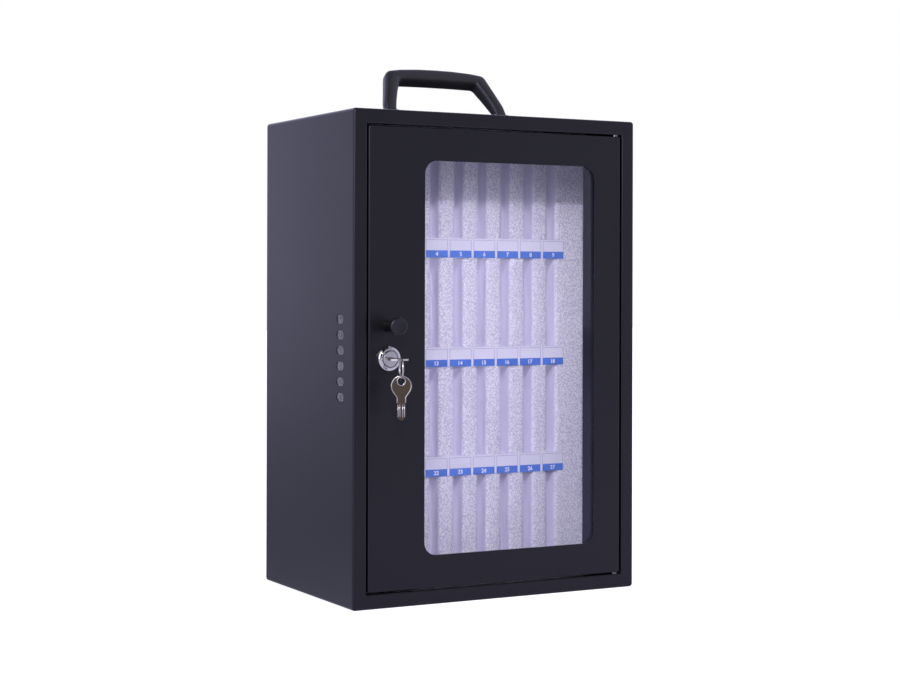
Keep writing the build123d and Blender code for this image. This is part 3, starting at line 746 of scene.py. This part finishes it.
def labelPieces():
    # every field has a blue band with its number below and a fine grey frame for a name above
    s, f = labels, foamBlock
    middles = (np.arange(f["slotCount"]) - (f["slotCount"] - 1) / 2) * f["slotPitch"]
    tops = (np.array(f["shelves"][:-1]) + f["shelfHeight"])[::-1]
    x, top = [a.ravel() for a in np.meshgrid(middles + s["shift"], tops)]
    left, right = x - s["fieldWidth"] / 2, x + s["fieldWidth"] / 2
    near, far = np.full_like(x, s["front"] - s["proud"]), np.full_like(x, s["front"] + s["proud"])
    bands = boxParts(
        np.stack([left, near, top - s["bandBottom"]], -1),
        np.stack([right, far, top - s["bandTop"]], -1),
    )
    line, high, low = s["frameLine"], top - s["frameTop"], top - s["bandTop"]
    frames = [
        boxParts(np.stack([left, near, high - line], -1), np.stack([right, far, high], -1)),
        boxParts(np.stack([left, near, low], -1), np.stack([left + line, far, high - line], -1)),
        boxParts(np.stack([right - line, near, low], -1), np.stack([right, far, high - line], -1)),
    ]
    centreZ = top - (s["bandTop"] + s["bandBottom"]) / 2
    figures = [
        figurePart(str(i + 1), s["figureHeight"], x[i], centreZ[i]) for i in range(len(x))
    ]
    addPiece("labelBands", [bands], blueInk, "cabinet", smooth=False)
    addPiece("labelFrames", frames, greyInk, "cabinet", smooth=False)
    addPiece("labelFigures", figures, whiteInk, "cabinet", smooth=False)


labelPieces()
print("labels printed")

ring = {
    "radius": 9.0,
    "turnWidth": 0.74,  # along the ring's axis, for one of its two turns
    "turnHeight": 1.0,
    "round": 0.3,
    "step": 0.4,  # from the middle of one turn to the ring's middle plane
    "overlap": 0.03,  # share of a turn left free at each end, where the wire crosses over
    "start": -60.0,  # degrees round the ring
    "samples": 240,
}


def roundedSection(width, height, radius, steps=4):
    # a rectangle with quarter-round corners, anticlockwise, as u and v
    turn = np.linspace(0, np.pi / 2, steps)
    corners = []
    for k, (sx, sy) in enumerate(((1, 1), (-1, 1), (-1, -1), (1, -1))):
        a = turn + k * np.pi / 2
        corners.append(np.stack([
            sx * (width / 2 - radius) + radius * np.cos(a),
            sy * (height / 2 - radius) + radius * np.sin(a),
        ], -1))
    return np.concatenate(corners)


def ringPiece():
    # two turns of flat wire round one circle; the side step runs smoothly from one turn's plane to
    # the other's
    out = jointAxis("ring_swing")
    up = np.array([0.0, 0.0, 1.0])
    axis = np.cross(out, up)
    centre = np.array(joints["ring_swing"]["pos_m"]) / mm - up * ring["radius"]
    turns = np.linspace(ring["overlap"], 2 - ring["overlap"], ring["samples"])
    angle = 2 * np.pi * turns + math.radians(ring["start"])
    cross = np.clip((turns - 1) / ring["overlap"], -1, 1)
    step = ring["step"] * np.sin(cross * np.pi / 2)
    radial = out * np.cos(angle)[:, None] + up * np.sin(angle)[:, None]
    centres = centre + radial * ring["radius"] + axis * step[:, None]
    section = roundedSection(ring["turnHeight"], ring["turnWidth"], ring["round"])
    wire = carryProfile(centres, radial, np.broadcast_to(axis, radial.shape), section)
    addPiece(
        "splitRing", [gridPart(wire, closeColumns=True, capEnds=True)], nickel, "ring",
        ["key_ring"],
    )


ringPiece()

keyRim = {
    "bowRadius": 9.5,
    "shoulderHalf": 4.4,
    "collar": 10.25,  # from the bow's centre to where the straight shoulder starts
    "shoulderEnd": 15.0,
    "bladeLines": (-2.9, -1.25, 1.25, 2.9),  # the blade's edges and the banks of its groove
    "bladeEnd": 27.6,
    "holeRadius": 3.3,
    "holeRise": 4.3,
    "thickness": 1.5,
    "inset": 0.6,
    "width": 0.85,
    "height": 0.22,
    "archSteps": 7,
    "samples": 90,
}


def keyRimParts(origin, across, up, out):
    # a low half-round bead along the key's outline and its blade, and another round its hole, on
    # both faces
    k = keyRim
    corner = np.array([k["shoulderHalf"], -k["collar"]])
    # the angle at which the shoulder's flank touches the round bow
    touch = np.arctan2(corner[1], corner[0]) + np.arccos(k["bowRadius"] / np.hypot(*corner))
    angle = np.linspace(touch, np.pi - touch, k["samples"])
    inner, side = k["bowRadius"] - k["inset"], k["shoulderHalf"] - k["inset"]
    bow = np.stack([np.cos(angle), np.sin(angle)], -1) * inner
    bend = np.array([side, (inner - side * np.cos(touch)) / np.sin(touch)])
    foot = np.array([side, -k["shoulderEnd"]])
    outline = np.concatenate([[foot, bend], bow, [bend * (-1, 1), foot * (-1, 1)]])
    tangent = np.gradient(outline, axis=0)
    tangent /= np.linalg.norm(tangent, axis=1)[:, None]
    around = np.linspace(0, 2 * np.pi, k["samples"], endpoint=False)
    hole = np.stack([np.cos(around), np.sin(around)], -1) * (k["holeRadius"] + k["width"] / 2)
    ringTangent = np.stack([-np.sin(around), np.cos(around)], -1)
    down = np.array([[0.0, -1.0], [0.0, -1.0]])
    edge = np.array([[1.0, -k["shoulderEnd"]], [1.0, -k["bladeEnd"]]])
    paths = [(outline, tangent, False), (hole + (0, k["holeRise"]), ringTangent, True)]
    paths += [(edge * (x, 1), down, False) for x in k["bladeLines"]]
    bead = beadProfile(k["width"], k["height"], k["archSteps"])
    parts = []
    for path, along, closed in paths:
        flat = np.stack([along[:, 1], -along[:, 0]], -1)  # to the right of the path
        for face in (1, -1):
            centres = origin + path[:, :1] * across + path[:, 1:] * up
            centres = centres + out * (face * k["thickness"] / 2)
            sides = face * (flat[:, :1] * across + flat[:, 1:] * up)
            ups = np.broadcast_to(out * float(face), sides.shape)
            rim = carryProfile(centres, sides, ups, bead)
            parts.append(gridPart(rim, closeRows=closed, closeColumns=True, capEnds=not closed))
    return parts


def spareRimPiece():
    # the spare hangs from the ring by its hole; the inserted key is seen edge on and needs none
    axis = jointAxis("spare_swing")
    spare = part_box("spare_key")
    middle = [(low + high) / 2 / mm for low, high in zip(*spare)]
    origin = np.array([middle[0], middle[1], spare[1][2] / mm - keyRim["bowRadius"]])
    up = np.array([0, 0, 1.0])
    parts = keyRimParts(origin, np.cross(up, axis), up, axis)
    addPiece("spareKeyRims", parts, nickel, "hanging_key")


spareRimPiece()
print("keys and ring made")

handleBow = {
    "lean": 35.0,  # degrees back from upright
    "eye": 4.75,  # radius of the rounded foot round the pin
    "tip": 0.1,  # half the depth left at the very end of a foot
    # half width and rise at seven places from the middle of the bar down to a foot
    "outer": ((0, 55.4), (20, 55.0), (40, 53.3), (54.6, 50.6), (60.6, 30), (65.8, 13), (66.8, 4)),
    "inner": ((0, 40.4), (15, 40.4), (30, 40.3), (42.0, 40.0), (48.2, 26), (52.8, 13), (55.2, 4)),
    "depth": (8.2, 8.2, 8.2, 8.0, 7.2, 6.1, 4.8),  # half the depth, front to back
    "squareness": 3.2,  # power of the rounded section
    "legSteps": 14,
    "footSteps": 10,
    "soften": 9,  # samples over which corners are rounded
    "around": 36,
}


def handlePiece():
    # rounded-square sections between an outer and an inner outline, along the left leg, the bar
    # and the right leg
    h = handleBow
    knots = np.arange(len(h["depth"]))
    fine = np.linspace(0, knots[-1], knots[-1] * h["legSteps"] + 1)
    columns = (*np.transpose(h["outer"]), *np.transpose(h["inner"]), h["depth"])
    rows = np.stack([np.interp(fine, knots, column) for column in columns], -1)
    foot = -h["eye"] * np.sin(np.linspace(0, np.pi / 2, h["footSteps"]))
    below = np.repeat(rows[-1:], len(foot), 0)
    below[:, 1] = below[:, 3] = foot
    below[:, 4] = np.sqrt(np.maximum(h["eye"] ** 2 - foot ** 2, h["tip"] ** 2))
    rows = np.concatenate([rows, below])
    rows = np.concatenate([rows[:0:-1] * (-1, 1, -1, 1, 1), rows])
    window = np.hanning(h["soften"] + 2)[1:-1]
    reach = h["soften"] // 2
    padded = np.pad(rows, ((reach, reach), (0, 0)), "reflect", reflect_type="odd")
    window /= window.sum()
    soft = np.stack([np.convolve(column, window, "valid") for column in padded.T], -1)
    half = len(rows) // 2
    keep = np.abs(np.arange(len(rows)) - half) > half - h["footSteps"]  # the feet stay as they are
    outer, inner, depth = np.split(np.where(keep[:, None], rows, soft), (2, 4), 1)
    turn = np.linspace(0, 2 * np.pi, h["around"], endpoint=False)
    power = 2 / h["squareness"]
    u = np.sign(np.cos(turn)) * np.abs(np.cos(turn)) ** power
    v = np.sign(np.sin(turn)) * np.abs(np.sin(turn)) ** power
    flat = (outer + inner)[:, None] / 2 + (outer - inner)[:, None] / 2 * u[None, :, None]
    deep = depth * v[None]
    lean = math.radians(h["lean"])
    points = np.stack([
        flat[..., 0], deep * math.cos(lean) + flat[..., 1] * math.sin(lean),
        flat[..., 1] * math.cos(lean) - deep * math.sin(lean),
    ], -1) + np.array(joints["handle_fold"]["pos_m"]) / mm
    addPiece(
        "handleGrip", [gridPart(points, closeColumns=True, capEnds=True)], nylon, "handle",
        ["handle_bow"],
    )


handlePiece()

# painted shade: size of the thin dark ring that stands in for the shadowed gap round the lock's
# plug
plugGapShade = {
    "radius": 7.5,
    "width": 0.7,
    "height": 0.3,
    "archSteps": 9,
    "samples": 96,
}


def plugGapShadePiece():
    # painted shade: a thin dark ring on the lock's face round the plug, in the knob's black
    # phenolic, stands in for the shadowed gap between plug and bezel; a half-round bead carried
    # round a circle
    b = plugGapShade
    low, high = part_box("lock_plug")
    centre = np.array([(low[0] + high[0]) / 2, 0, (low[2] + high[2]) / 2]) / mm
    centre = centre + (0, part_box("lock_housing")[0][1] / mm, 0)
    turn = np.linspace(0, 2 * np.pi, b["samples"], endpoint=False)
    radial = np.stack([np.cos(turn), np.zeros_like(turn), np.sin(turn)], -1)
    outward = np.broadcast_to([0.0, -1.0, 0.0], radial.shape)
    bead = beadProfile(b["width"], b["height"], b["archSteps"])
    gapShade = carryProfile(centre + radial * b["radius"], radial, outward, bead)
    addPiece(
        "plugGapShade", [gridPart(gapShade, closeRows=True, closeColumns=True)], phenolic, "door",
    )


plugGapShadePiece()


def brightEdges(name):
    # a key's two broad faces keep their blasted finish, and its cut edges are bright
    edgeTurn = 0.9  # cosine: a face turned further from the broad faces is a cut edge
    mesh = frame["nodes"][name].data
    normals = np.empty(len(mesh.polygons) * 3)
    mesh.polygons.foreach_get("normal", normals)
    areas = np.empty(len(mesh.polygons))
    mesh.polygons.foreach_get("area", areas)
    normals = normals.reshape(-1, 3)
    edge = np.abs(normals @ normals[areas.argmax()]) < edgeTurn
    mesh.materials.append(nickel)
    mesh.polygons.foreach_set("material_index", edge.astype(np.int32))


brightEdges("key_in_lock")
brightEdges("spare_key")
print("handle, lock seal and key edges made")

scene.view_settings.view_transform = "Standard"
